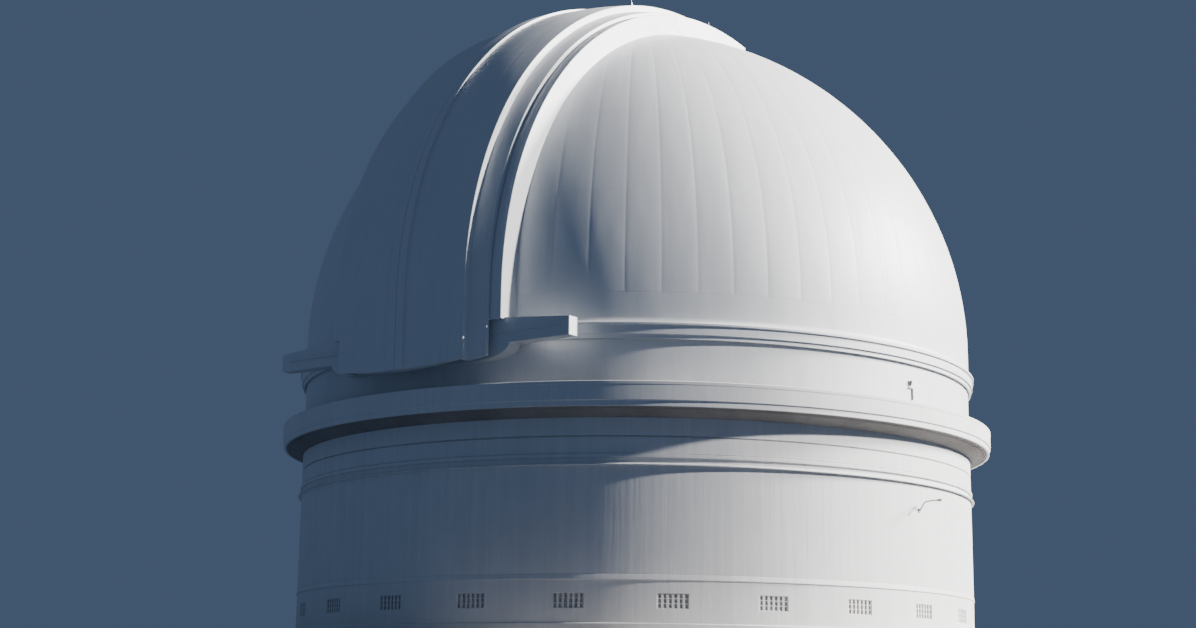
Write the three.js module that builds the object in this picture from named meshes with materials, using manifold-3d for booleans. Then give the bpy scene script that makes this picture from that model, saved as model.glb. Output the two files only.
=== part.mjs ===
import * as THREE from 'three';
import { mergeVertices } from 'three/addons/utils/BufferGeometryUtils.js';
import Module from 'manifold-3d';

// Observatory dome, scale model 1:2, in millimetres, +Z up.
// The origin is on the dome's axis at ground level, and the slit faces -Y.
// Angles round the building are measured from -Y towards +X.
// Angles over the slit are measured from the zenith, negative on the slit side.

// Overall form
const SPRING_Z = 9300;
const SHELL_R = 10450;
const SHELL_INNER_R = 10050;
const ROUND_SEGMENTS = 72;
const INNER_SEGMENTS = 36;
const SHELL_ROWS = 16;
const INNER_ROWS = 8;
const SHELL_FOOT = 100;
const GAP = 0.3;
const GAP_DEG = 0.003;
const CUT_MARGIN = 200;
const WELD_DEPTH = 15;

// Fixed round building
const WALL_R = 10430;
const WALL_INNER_R = 10130;
const UPPER_WALL_INNER_R = 10230;
const WALL_TOP = 6050;
const WALL_JOINT_DEG = 3.5;
const WALKWAY_JOINT_DEG = 48.5;
const PLINTH_R = 10480;
const PLINTH_TOP = 550;
const COURSE_R = 10475;
const COURSE_LOW = 1650;
const COURSE_TOP = 1740;
const COURSE_SLOPE = 25;
const MOULDING_R = 10525;
const MOULDING_LOW = 4635;
const MOULDING_EDGE = 25;
const NECK_R = 10405;
const NECK_LOW = 4715;
const FILLET_R = 10465;
const FILLET_LOW = 4840;
const FILLET_TOP = 4925;
const FILLET_GROOVE_R = 10415;
const FILLET_GROOVE_TOP = 4955;
const GROOVE_LOW = 5385;
const GROOVE_TOP = 5425;
const GROOVE_R = 10370;
const SLAB_TOP = 150;

// One grille opening in each bay of the base wall, and the entrance in the hidden rear bay
const BAYS = 24;
const FIRST_BAY_DEG = -94;
const WINDOW_WIDTH = 830;
const WINDOW_LOW = 920;
const WINDOW_TOP = 1310;
const DOOR_BAY = 21;
const DOOR_WIDTH = 1300;
const DOOR_TOP = 1480;
const DOOR_FACE_SETBACK = 90;
const DOOR_FRAME = 70;
const DOOR_FRAME_DEPTH = 160;
const DOOR_LEAF_SETBACK = 40;
const DOOR_LEAF_DEPTH = 50;

// Walkway and parapet round the foot of the dome
const WALKWAY_TOP = 6190;
const WALKWAY_INNER_R = 9900;
const SOFFIT_LOW = 5900;
const PARAPET_R = 11060;
const PARAPET_INNER_R = 10950;
const PARAPET_LOW = 6120;
const PARAPET_TOP = 6745;
const COPING_R = 11085;
const COPING_INNER_R = 10920;
const COPING_LOW = 6665;
const BAND_R = 11025;
const BAND_TOP = 6280;

// Circular rail, trucks and ring girder that carry the dome
const RAIL_R = 10000;
const RAIL_HALF_WIDTH = 45;
const RAIL_TOP = 6270;
const WHEEL_R = 160;
const WHEEL_HALF_WIDTH = 40;
const WHEEL_SIDES = 12;
const TRUCKS = 12;
const TRUCK_HALF_LENGTH = 330;
const TRUCK_HALF_WIDTH = 110;
const TRUCK_BELOW_AXLE = 53;
const WHEEL_OFFSET = 180;
const GIRDER_LOW = 6520;
const GIRDER_TOP = 6680;
const GIRDER_INNER_R = 9850;
const GIRDER_OUTER_R = 10250;

// Rotating drum under the hemisphere, and its belt with a lip and a flare at the top
const DRUM_R = 10420;
const DRUM_LOW = 6240;
const DRUM_JOINT_DEG = 45;
const BELT_LOW = 8010;
const BELT_LOW_R = 10510;
const BELT_STEP = 8130;
const BELT_R = 10560;
const BELT_LIP_LOW = 8385;
const BELT_LIP_R = 10610;
const BELT_LIP_TOP = 8435;
const BELT_FLARE_R = 10500;
const BELT_FLARE_Z = 8480;
const BELT_TOP = 8600;
const BELT_END_X = 3680;

// Arch girders on both sides of the slit, and the curb behind it
const SLIT_HALF = 2285;
const ARCH_OUTER_X = 3100;
const ARCH_R = 10600;
const ARCH_INNER_R = 9700;
const ARCH_HEEL_Z = 8550;
const ARCH_END_DEG = 9.2;
const ARCH_STEPS = 24;
const CURB_START_DEG = 7.4;

// Rail beam across the foot of the slit: a middle length with a level sill that carries the
// arches and a deeper belly, and two free ends that taper from a shoulder beside the arches
const BEAM_HALF = 5280;
const BEAM_FRONT_Y = -10435;
const BEAM_BACK_Y = -9960;
const BEAM_TIP_BACK_Y = -10080;
const BEAM_LOW = 7865;
const BEAM_SILL = 8395;
const BEAM_SHOULDER = 8600;
const BEAM_TIP_TOP = 8400;
const BELLY_HALF = 3280;
const BELLY_CORNER = 1100;
const BELLY_CURVE_STEPS = 8;
const BELLY_LOW = 7490;
const BAR_HALF = 5000;
const BAR_LOW = 8180;
const BAR_TOP = 8230;
const BAR_DEPTH = 60;

// Shutter leaves
const SEAM_HALF_GAP = 5;
const RIDGE_HALF = 265;
const RIDGE_R = 11360;
const PANEL_CROWN_R = 11283;
const PANEL_EDGE_R = 11070;
const PANEL_INNER_R = 10980;
const PANEL_EDGE_X = 2200;
const PANEL_STEPS = 3;
const WEB_INNER_X = 2060;
const FLANGE_EDGE_X = 2725;
const FLANGE_ROOT_R = 10870;
const FLANGE_TOP_R = 10730;
const FLANGE_LOW_R = 10625;
const LEAF_END_DEG = 10.2;
const LEAF_STEPS = 24;
const APRON_MID_Z = 7325;
const APRON_EDGE_Z = 7560;
const APRON_CURVE_STEPS = 12;
const ROLLER_R = 75;
const ROLLER_XS = [450, 1750];
const ROLLER_ARM_HALF = 38;
const END_PLATE_DEG = 9.9;
const END_PLATE_HALF = 50;
const SHOE_DEG = 8.3;
const SHOE_HALF = 110;
const SHOE_R = 10606;
const SHOE_X0 = 120;
const SHOE_X1 = 620;

// Lightning rods on the right leaf
const ROD_X = 2140;
const ROD_R = 14;
const ROD_SIDES = 8;
const ROD_HEIGHT = 300;
const ROD_SINK = 60;
const RODS = [['front', -18], ['rear', 5]];

const wasm = await Module();
wasm.setup();

const white = new THREE.MeshStandardMaterial({ color: 0xe6e7ea, roughness: 0.42, metalness: 0.05 });
const stucco = new THREE.MeshStandardMaterial({ color: 0xdcdcdc, roughness: 0.85, metalness: 0 });
const concrete = new THREE.MeshStandardMaterial({ color: 0xa9a59d, roughness: 0.9, metalness: 0 });
const steel = new THREE.MeshStandardMaterial({ color: 0x8d9096, roughness: 0.5, metalness: 0.7 });

const radians = THREE.MathUtils.degToRad;

// A closed geometry becomes a solid that can be cut and joined.
function solid(geometry) {
  const plain = geometry.clone();
  plain.deleteAttribute('normal');
  plain.deleteAttribute('uv');
  const merged = mergeVertices(plain, 1e-3);
  const index = merged.index.array;
  const triVerts = [];
  for (let i = 0; i < index.length; i += 3) {
    const [a, b, c] = [index[i], index[i + 1], index[i + 2]];
    if (a !== b && b !== c && c !== a) {
      triVerts.push(a, b, c);
    }
  }
  return new wasm.Manifold(new wasm.Mesh({
    numProp: 3,
    vertProperties: Float32Array.from(merged.attributes.position.array),
    triVerts: Uint32Array.from(triVerts),
  }));
}

function geometryOf(manifold) {
  const mesh = manifold.getMesh();
  const geometry = new THREE.BufferGeometry();
  geometry.setAttribute('position', new THREE.BufferAttribute(mesh.vertProperties, 3));
  geometry.setIndex(new THREE.BufferAttribute(mesh.triVerts, 1));
  geometry.computeVertexNormals();
  return geometry;
}

function box(x0, x1, y0, y1, z0, z1) {
  const geometry = new THREE.BoxGeometry(x1 - x0, y1 - y0, z1 - z0);
  geometry.translate((x0 + x1) / 2, (y0 + y1) / 2, (z0 + z1) / 2);
  return geometry;
}

// Revolves [radius, height] points about the Z axis. The outline runs up the outside.
// It closes on itself, unless it starts and ends on the axis.
function revolve(outline, segments = ROUND_SEGMENTS) {
  const points = outline.map(([r, z]) => new THREE.Vector2(r, z));
  if (outline[0][0] > 0) {
    points.push(points[0].clone());
  }
  const geometry = new THREE.LatheGeometry(points, segments);
  geometry.rotateX(Math.PI / 2);
  return geometry;
}

// An upright wedge about the Z axis, between two angles round the building.
function wedge(fromDeg, toDeg, low, high) {
  const middle = radians((fromDeg + toDeg) / 2);
  const half = radians((toDeg - fromDeg) / 2);
  const inset = GAP / 2 / Math.sin(half);
  const far = 2 * SHELL_R;
  const apex = new THREE.Vector2(inset * Math.sin(middle), -inset * Math.cos(middle));
  const corners = [-half, 0, half].map((turn) => {
    const angle = middle + turn;
    return new THREE.Vector2(far * Math.sin(angle), -far * Math.cos(angle)).add(apex);
  });
  const shape = new THREE.Shape([apex, ...corners]);
  const geometry = new THREE.ExtrudeGeometry(shape, { depth: high - low, bevelEnabled: false });
  geometry.translate(0, 0, low);
  return geometry;
}

// A shape drawn in X and Z, pushed along Y.
function plateAlongY(shape, y0, y1, curveSegments) {
  const options = { depth: y1 - y0, bevelEnabled: false, curveSegments };
  const geometry = new THREE.ExtrudeGeometry(shape, options);
  geometry.rotateX(Math.PI / 2);
  geometry.translate(0, y1, 0);
  return geometry;
}

// A prism along X over the slit, from one angle to another, with its edge on the springing line.
function slitWedge(fromDeg, toDeg, x0, x1) {
  const far = 2 * SHELL_R;
  const corners = [toDeg, (fromDeg + toDeg) / 2, fromDeg].map((deg) => {
    const angle = radians(deg);
    return new THREE.Vector2(far * Math.sin(angle), far * Math.cos(angle));
  });
  const shape = new THREE.Shape([new THREE.Vector2(0, 0), ...corners]);
  const geometry = new THREE.ExtrudeGeometry(shape, { depth: x1 - x0, bevelEnabled: false });
  const turn = new THREE.Matrix4().makeBasis(
    new THREE.Vector3(0, 1, 0),
    new THREE.Vector3(0, 0, 1),
    new THREE.Vector3(1, 0, 0),
  );
  geometry.applyMatrix4(turn);
  geometry.translate(x0, 0, SPRING_Z);
  return geometry;
}

// A block that lies over the slit at an angle: x range, radius range, and half its thickness.
function slitBlock(x0, x1, r0, r1, half, deg) {
  const geometry = box(x0, x1, -half, half, r0, r1);
  geometry.rotateX(-radians(deg));
  geometry.translate(0, 0, SPRING_Z);
  return geometry;
}

// A section of [x, radius] points, given clockwise, swept up a straight foot and over the arc.
function sweepOverSlit(section, footZ, endDeg, steps) {
  const start = -Math.PI / 2;
  const stations = [{ angle: start, drop: footZ - SPRING_Z }];
  for (let i = 0; i <= steps; i += 1) {
    stations.push({ angle: start + (i / steps) * (radians(endDeg) - start), drop: 0 });
  }
  const positions = stations.flatMap(({ angle, drop }) => section.flatMap(([x, r]) => (
    [x, r * Math.sin(angle), SPRING_Z + r * Math.cos(angle) + drop]
  )));
  const count = section.length;
  const triangles = [];
  for (let s = 0; s + 1 < stations.length; s += 1) {
    for (let i = 0; i < count; i += 1) {
      const a = s * count + i;
      const b = s * count + ((i + 1) % count);
      triangles.push(a, b, b + count, a, b + count, a + count);
    }
  }
  const outline = section.map(([x, r]) => new THREE.Vector2(x, r));
  const last = (stations.length - 1) * count;
  for (const [a, b, c] of THREE.ShapeUtils.triangulateShape(outline, [])) {
    triangles.push(a, b, c, last + a, last + c, last + b);
  }
  const geometry = new THREE.BufferGeometry();
  geometry.setAttribute('position', new THREE.Float32BufferAttribute(positions, 3));
  geometry.setIndex(triangles);
  return geometry;
}

function mirrored(section) {
  return section.map(([x, r]) => [-x, r]).reverse();
}

const object = new THREE.Group();

function add(name, manifold, material) {
  const mesh = new THREE.Mesh(geometryOf(manifold), material);
  mesh.name = name;
  object.add(mesh);
  return mesh;
}

const QUARTERS = ['front', 'right', 'rear', 'left'];
const EIGHTHS = [
  'front_left',
  'front_right',
  'right_front',
  'right_rear',
  'rear_right',
  'rear_left',
  'left_rear',
  'left_front',
];

// Cuts a ring into equal segments round the building. The first one ends at jointDeg.
function addSegments(prefix, ring, sides, jointDeg, material) {
  const width = 360 / sides.length;
  sides.forEach((side, i) => {
    const to = jointDeg + width * i;
    const segment = solid(wedge(to - width, to, -GAP, SPRING_Z + GAP));
    add(`${prefix}_${side}`, ring.intersect(segment), material);
  });
}

function bayAngle(bay) {
  return FIRST_BAY_DEG + (bay * 360) / BAYS;
}

// Ground slab inside the wall
function addGroundSlab() {
  const r = WALL_INNER_R - GAP;
  add('ground_slab', solid(revolve([[0, 0], [r, 0], [r, SLAB_TOP], [0, SLAB_TOP]])), concrete);
}

// Straight opening out through the round wall
function wallOpening(angleDeg, width, low, high) {
  const y0 = -WALL_R - CUT_MARGIN;
  const y1 = -WALL_INNER_R + CUT_MARGIN;
  const cutter = box(-width / 2, width / 2, y0, y1, low, high);
  cutter.rotateZ(radians(angleDeg));
  return solid(cutter);
}

// Base wall: plinth, grille openings, entrance and string course
function addBaseWall() {
  let ring = solid(revolve([
    [PLINTH_R, 0],
    [PLINTH_R, PLINTH_TOP - COURSE_SLOPE],
    [WALL_R, PLINTH_TOP],
    [WALL_R, COURSE_LOW],
    [COURSE_R, COURSE_LOW],
    [COURSE_R, COURSE_TOP - COURSE_SLOPE],
    [WALL_R, COURSE_TOP],
    [WALL_INNER_R, COURSE_TOP],
    [WALL_INNER_R, 0],
  ]));
  for (let bay = 0; bay < BAYS; bay += 1) {
    ring = ring.subtract(bay === DOOR_BAY
      ? wallOpening(bayAngle(bay), DOOR_WIDTH, SLAB_TOP, DOOR_TOP)
      : wallOpening(bayAngle(bay), WINDOW_WIDTH, WINDOW_LOW, WINDOW_TOP));
  }
  addSegments('base_wall', ring, EIGHTHS, WALL_JOINT_DEG, stucco);
}

// Upper wall, thinner than the base wall: a sloped moulding with a flat fillet over it,
// and a groove higher up
function addUpperWall() {
  const ring = solid(revolve([
    [WALL_R, COURSE_TOP + GAP],
    [WALL_R, MOULDING_LOW],
    [MOULDING_R, MOULDING_LOW],
    [MOULDING_R, MOULDING_LOW + MOULDING_EDGE],
    [NECK_R, NECK_LOW],
    [NECK_R, FILLET_LOW],
    [FILLET_R, FILLET_LOW],
    [FILLET_R, FILLET_TOP],
    [FILLET_GROOVE_R, FILLET_TOP],
    [FILLET_GROOVE_R, FILLET_GROOVE_TOP],
    [WALL_R, FILLET_GROOVE_TOP],
    [WALL_R, GROOVE_LOW],
    [GROOVE_R, GROOVE_LOW],
    [GROOVE_R, GROOVE_TOP],
    [WALL_R, GROOVE_TOP],
    [WALL_R, WALL_TOP - GAP],
    [UPPER_WALL_INNER_R, WALL_TOP - GAP],
    [UPPER_WALL_INNER_R, COURSE_TOP + GAP],
  ]));
  addSegments('upper_wall', ring, EIGHTHS, WALL_JOINT_DEG, stucco);
}

// Double entrance door, closed
function addEntrance() {
  const half = DOOR_WIDTH / 2 - GAP;
  const inner = half - DOOR_FRAME;
  const low = SLAB_TOP + GAP;
  const head = DOOR_TOP - GAP;
  const frameY = -WALL_R + DOOR_FACE_SETBACK;
  const frameBackY = frameY + DOOR_FRAME_DEPTH;
  const leafY = frameY + DOOR_LEAF_SETBACK;
  const hole = box(-inner, inner, frameY - GAP, frameBackY + GAP, 0, head - DOOR_FRAME);
  const frame = solid(box(-half, half, frameY, frameBackY, low, head)).subtract(solid(hole));
  const pieces = [add('door_frame', frame, steel)];
  for (const [side, x0, x1] of [['left', -inner + GAP, -GAP], ['right', GAP, inner - GAP]]) {
    const leaf = box(x0, x1, leafY, leafY + DOOR_LEAF_DEPTH, low, head - DOOR_FRAME - GAP);
    pieces.push(add(`door_leaf_${side}`, solid(leaf), steel));
  }
  for (const piece of pieces) {
    piece.rotation.z = radians(bayAngle(DOOR_BAY));
  }
}

// Walkway slab with a tapering soffit, and the parapet on its edge
function addWalkway() {
  const slab = solid(revolve([
    [WALL_R + GAP, SOFFIT_LOW],
    [PARAPET_INNER_R - GAP, PARAPET_LOW],
    [PARAPET_INNER_R - GAP, WALKWAY_TOP],
    [WALKWAY_INNER_R, WALKWAY_TOP],
    [WALKWAY_INNER_R, WALL_TOP],
    [WALL_R + GAP, WALL_TOP],
  ]));
  addSegments('walkway', slab, QUARTERS, WALKWAY_JOINT_DEG, concrete);
  const parapet = solid(revolve([
    [BAND_R, PARAPET_LOW],
    [BAND_R, BAND_TOP - COURSE_SLOPE],
    [PARAPET_R, BAND_TOP],
    [PARAPET_R, COPING_LOW],
    [COPING_R, COPING_LOW],
    [COPING_R, PARAPET_TOP],
    [COPING_INNER_R, PARAPET_TOP],
    [COPING_INNER_R, COPING_LOW],
    [PARAPET_INNER_R, COPING_LOW],
    [PARAPET_INNER_R, PARAPET_LOW],
  ]));
  addSegments('parapet', parapet, QUARTERS, WALKWAY_JOINT_DEG, stucco);
}

function addCircularRail() {
  const inner = RAIL_R - RAIL_HALF_WIDTH;
  const outer = RAIL_R + RAIL_HALF_WIDTH;
  add('circular_rail', solid(revolve([
    [outer, WALKWAY_TOP + GAP],
    [outer, RAIL_TOP],
    [inner, RAIL_TOP],
    [inner, WALKWAY_TOP + GAP],
  ])), steel);
}

// Ring girder with its wheeled trucks
function addRingGirder() {
  let girder = solid(revolve([
    [GIRDER_OUTER_R, GIRDER_LOW],
    [GIRDER_OUTER_R, GIRDER_TOP],
    [GIRDER_INNER_R, GIRDER_TOP],
    [GIRDER_INNER_R, GIRDER_LOW],
  ]));
  const axleZ = RAIL_TOP + WHEEL_R + GAP;
  for (let i = 0; i < TRUCKS; i += 1) {
    const turn = ((i + 0.5) * 2 * Math.PI) / TRUCKS;
    const parts = [box(
      -TRUCK_HALF_LENGTH,
      TRUCK_HALF_LENGTH,
      -RAIL_R - TRUCK_HALF_WIDTH,
      -RAIL_R + TRUCK_HALF_WIDTH,
      axleZ - TRUCK_BELOW_AXLE,
      GIRDER_LOW + WELD_DEPTH,
    )];
    for (const x of [-WHEEL_OFFSET, WHEEL_OFFSET]) {
      const wheel = new THREE.CylinderGeometry(WHEEL_R, WHEEL_R, 2 * WHEEL_HALF_WIDTH, WHEEL_SIDES);
      wheel.translate(x, -RAIL_R, axleZ);
      parts.push(wheel);
    }
    for (const part of parts) {
      part.rotateZ(turn);
      girder = girder.add(solid(part));
    }
  }
  add('ring_girder', girder, steel);
}

// The beam's outline at shoulder height, grown by a margin where it is used to cut its pocket
function beamShape(margin) {
  const shape = new THREE.Shape();
  const half = BEAM_HALF + margin;
  const bellyX = BELLY_HALF - BELLY_CORNER;
  const corner = BELLY_CORNER + margin;
  const low = BEAM_LOW - margin;
  const depth = BEAM_LOW - BELLY_LOW;
  const shoulder = BEAM_SHOULDER + margin;
  shape.moveTo(-half, BEAM_TIP_TOP + margin);
  shape.lineTo(-half, low);
  shape.lineTo(-bellyX - corner, low);
  shape.absellipse(-bellyX, low, corner, depth, Math.PI, 1.5 * Math.PI, false);
  shape.lineTo(bellyX, low - depth);
  shape.absellipse(bellyX, low, corner, depth, 1.5 * Math.PI, 2 * Math.PI, false);
  shape.lineTo(half, low);
  shape.lineTo(half, BEAM_TIP_TOP + margin);
  shape.lineTo(ARCH_OUTER_X, shoulder);
  shape.lineTo(-ARCH_OUTER_X, shoulder);
  return shape;
}

// The beam in three lengths, with its back drawn in towards the tips, and the rail bar on its
// face. The middle length stops at the sill.
function addRailBeam() {
  const beam = plateAlongY(beamShape(0), BEAM_FRONT_Y, BEAM_BACK_Y, BELLY_CURVE_STEPS);
  const plan = new THREE.Shape([
    new THREE.Vector2(-BEAM_HALF, BEAM_FRONT_Y),
    new THREE.Vector2(BEAM_HALF, BEAM_FRONT_Y),
    new THREE.Vector2(BEAM_HALF, BEAM_TIP_BACK_Y),
    new THREE.Vector2(ARCH_OUTER_X, BEAM_BACK_Y),
    new THREE.Vector2(-ARCH_OUTER_X, BEAM_BACK_Y),
    new THREE.Vector2(-BEAM_HALF, BEAM_TIP_BACK_Y),
  ]);
  const height = BEAM_SHOULDER - BELLY_LOW;
  const prism = new THREE.ExtrudeGeometry(plan, { depth: height, bevelEnabled: false });
  prism.translate(0, 0, BELLY_LOW);
  const whole = solid(beam).intersect(solid(prism));
  const near = ARCH_OUTER_X + GAP;
  for (const [name, x0, x1, top] of [
    ['front_rail_beam', -ARCH_OUTER_X, ARCH_OUTER_X, BEAM_SILL],
    ['beam_end_left', -2 * BEAM_HALF, -near, SPRING_Z],
    ['beam_end_right', near, 2 * BEAM_HALF, SPRING_Z],
  ]) {
    add(name, whole.intersect(solid(box(x0, x1, -2 * SHELL_R, 0, 0, top))), white);
  }
  const bar = box(-BAR_HALF, BAR_HALF, BEAM_FRONT_Y - BAR_DEPTH, BEAM_FRONT_Y - GAP, BAR_LOW, BAR_TOP);
  add('front_shutter_rail', solid(bar), steel);
}

// Drum wall, with a pocket for the beam and a notch for the slit and its arch girders
function addDrum() {
  const pocketBackY = BEAM_BACK_Y + GAP;
  const beamPocket = plateAlongY(beamShape(GAP), 2 * BEAM_FRONT_Y, pocketBackY, BELLY_CURVE_STEPS);
  const notchX = ARCH_OUTER_X + GAP;
  const notch = box(-notchX, notchX, -2 * SHELL_R, 0, BEAM_SILL + GAP / 2, 2 * SPRING_Z);
  const ring = solid(revolve([
    [DRUM_R, DRUM_LOW],
    [DRUM_R, BELT_LOW],
    [SHELL_R, BELT_LOW],
    [SHELL_R, SPRING_Z - GAP],
    [SHELL_INNER_R, SPRING_Z - GAP],
    [SHELL_INNER_R, GIRDER_TOP + GAP],
    [GIRDER_OUTER_R + GAP, GIRDER_TOP + GAP],
    [GIRDER_OUTER_R + GAP, DRUM_LOW],
  ])).subtract(solid(beamPocket)).subtract(solid(notch));
  addSegments('drum_wall', ring, QUARTERS, DRUM_JOINT_DEG, white);
  const belt = solid(revolve([
    [BELT_LOW_R, BELT_LOW],
    [BELT_LOW_R, BELT_STEP],
    [BELT_R, BELT_STEP],
    [BELT_R, BELT_LIP_LOW],
    [BELT_LIP_R, BELT_LIP_LOW],
    [BELT_LIP_R, BELT_LIP_TOP],
    [BELT_FLARE_R, BELT_FLARE_Z],
    [SHELL_R + GAP, BELT_TOP],
    [SHELL_R + GAP, BELT_LOW],
  ])).subtract(solid(box(-BELT_END_X, BELT_END_X, -2 * SHELL_R, 0, 0, SPRING_Z)));
  add('belt_moulding', belt, white);
}

// Solid hemisphere on the springing line, with a straight foot under it
function hemisphere(r, foot, segments, rows) {
  const outline = [[0, SPRING_Z - foot], [r, SPRING_Z - foot]];
  for (let i = 0; i < rows; i += 1) {
    const angle = (i / rows) * (Math.PI / 2);
    outline.push([r * Math.cos(angle), SPRING_Z + r * Math.sin(angle)]);
  }
  outline.push([0, SPRING_Z + r]);
  return solid(revolve(outline, segments));
}

// Hemispherical shell: two plates on each side of the slit and one strip behind it
function addShell() {
  const inner = hemisphere(SHELL_INNER_R, 2 * SHELL_FOOT, INNER_SEGMENTS, INNER_ROWS);
  const shell = hemisphere(SHELL_R, SHELL_FOOT, ROUND_SEGMENTS, SHELL_ROWS).subtract(inner);
  const near = ARCH_OUTER_X + GAP;
  const far = 2 * SHELL_R;
  const top = SPRING_Z + far;
  for (const [side, x0, x1] of [['left', -far, -near], ['right', near, far]]) {
    for (const [end, y0, y1] of [['front', -far, -GAP / 2], ['rear', GAP / 2, far]]) {
      const half = solid(box(x0, x1, y0, y1, SPRING_Z, top));
      add(`dome_shell_${end}_${side}`, shell.intersect(half), white);
    }
  }
  const strip = solid(slitWedge(ARCH_END_DEG + GAP_DEG, 90, -ARCH_OUTER_X, ARCH_OUTER_X));
  add('dome_shell_rear', shell.intersect(strip), white);
}

// Arch girders, cut back to the beam's face at the foot, and the curb that joins them
// behind the slit
function addArches() {
  const section = [
    [SLIT_HALF, ARCH_INNER_R],
    [SLIT_HALF, ARCH_R],
    [ARCH_OUTER_X, ARCH_R],
    [ARCH_OUTER_X, ARCH_INNER_R],
  ];
  const heelX = ARCH_OUTER_X + CUT_MARGIN;
  const heel = solid(box(-heelX, heelX, -2 * SHELL_R, BEAM_FRONT_Y, 0, ARCH_HEEL_Z));
  for (const [side, points] of [['left', mirrored(section)], ['right', section]]) {
    const arch = solid(sweepOverSlit(points, BEAM_SILL + GAP, ARCH_END_DEG, ARCH_STEPS));
    add(`slit_arch_${side}`, arch.subtract(heel), white);
  }
  const middle = (CURB_START_DEG + ARCH_END_DEG) / 2;
  const half = ARCH_R * Math.tan(radians((ARCH_END_DEG - CURB_START_DEG) / 2));
  const x = SLIT_HALF - GAP;
  add('rear_curb', solid(slitBlock(-x, x, ARCH_INNER_R, ARCH_R, half, middle))
    .intersect(solid(slitWedge(CURB_START_DEG, ARCH_END_DEG, -x, x))), white);
}

// Curved cut that shapes the lower edge of both leaves
function apronCut() {
  const x = FLANGE_EDGE_X + SEAM_HALF_GAP;
  const shape = new THREE.Shape();
  shape.moveTo(-x, APRON_EDGE_Z);
  shape.lineTo(-x, 0);
  shape.lineTo(x, 0);
  shape.lineTo(x, APRON_EDGE_Z);
  shape.quadraticCurveTo(0, 2 * APRON_MID_Z - APRON_EDGE_Z, -x, APRON_EDGE_Z);
  return plateAlongY(shape, -2 * SHELL_R, 0, APRON_CURVE_STEPS);
}

// Radius of the panel's crowned face at a distance x from the seam
function panelRadius(x) {
  return PANEL_CROWN_R - (PANEL_CROWN_R - PANEL_EDGE_R) * (x / PANEL_EDGE_X) ** 2;
}

// Shutter leaf: raised panel, stepped flange, seam ridge, rollers, rear end plate and shoe
function leafSolid(sign) {
  const panel = [];
  for (let i = 0; i <= PANEL_STEPS; i += 1) {
    const x = RIDGE_HALF + (i / PANEL_STEPS) * (PANEL_EDGE_X - RIDGE_HALF);
    panel.push([x, panelRadius(x)]);
  }
  const section = [
    [SEAM_HALF_GAP, PANEL_INNER_R],
    [SEAM_HALF_GAP, RIDGE_R],
    [RIDGE_HALF, RIDGE_R],
    ...panel,
    [PANEL_EDGE_X, FLANGE_ROOT_R],
    [FLANGE_EDGE_X, FLANGE_TOP_R],
    [FLANGE_EDGE_X, FLANGE_LOW_R],
    [WEB_INNER_X, FLANGE_LOW_R],
    [WEB_INNER_X, PANEL_INNER_R],
  ];
  const points = sign > 0 ? section : mirrored(section);
  const sweep = sweepOverSlit(points, APRON_MID_Z - CUT_MARGIN, LEAF_END_DEG, LEAF_STEPS);
  let leaf = solid(sweep).subtract(solid(apronCut()));
  const span = (x0, x1) => [sign * x0, sign * x1].sort((a, b) => a - b);
  const [plateX0, plateX1] = span(SEAM_HALF_GAP, WEB_INNER_X + WELD_DEPTH);
  const plateTop = PANEL_INNER_R + WELD_DEPTH;
  leaf = leaf.add(solid(
    slitBlock(plateX0, plateX1, FLANGE_LOW_R, plateTop, END_PLATE_HALF, END_PLATE_DEG),
  ));
  const [shoeX0, shoeX1] = span(SHOE_X0, SHOE_X1);
  leaf = leaf.add(solid(slitBlock(shoeX0, shoeX1, SHOE_R, plateTop, SHOE_HALF, SHOE_DEG)));
  const rollerZ = BAR_TOP + ROLLER_R + GAP;
  const rollerBack = BEAM_FRONT_Y - SEAM_HALF_GAP;
  const rollerFront = BEAM_FRONT_Y - BAR_DEPTH;
  for (const x of ROLLER_XS) {
    const [armX0, armX1] = span(x - ROLLER_ARM_HALF, x + ROLLER_ARM_HALF);
    const arm = box(
      armX0,
      armX1,
      -PANEL_INNER_R - WELD_DEPTH,
      rollerFront + WELD_DEPTH,
      rollerZ - ROLLER_ARM_HALF,
      rollerZ + ROLLER_ARM_HALF,
    );
    const width = rollerBack - rollerFront;
    const roller = new THREE.CylinderGeometry(ROLLER_R, ROLLER_R, width, WHEEL_SIDES);
    roller.translate(sign * x, (rollerBack + rollerFront) / 2, rollerZ);
    leaf = leaf.add(solid(arm)).add(solid(roller));
  }
  return leaf;
}

function addLeaves() {
  add('shutter_leaf_left', leafSolid(-1), white);
  const right = leafSolid(1);
  add('shutter_leaf_right', right, white);
  const raised = right.translate([0, 0, GAP]);
  const rodFootR = panelRadius(ROD_X);
  for (const [end, deg] of RODS) {
    const y = rodFootR * Math.sin(radians(deg));
    const low = SPRING_Z + rodFootR * Math.cos(radians(deg)) - ROD_SINK;
    const rod = new THREE.CylinderGeometry(ROD_R / 2, ROD_R, ROD_HEIGHT + ROD_SINK, ROD_SIDES);
    rod.rotateX(Math.PI / 2);
    rod.translate(ROD_X, y, low + (ROD_HEIGHT + ROD_SINK) / 2);
    add(`lightning_rod_${end}`, solid(rod).subtract(raised), steel);
  }
}

addGroundSlab();
addBaseWall();
addEntrance();
addUpperWall();
addWalkway();
addCircularRail();
addRingGirder();
addDrum();
addRailBeam();
addArches();
addShell();
addLeaves();

export default object;
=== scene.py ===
import math

import bmesh
import bpy
from mathutils import Matrix, Vector


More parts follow.
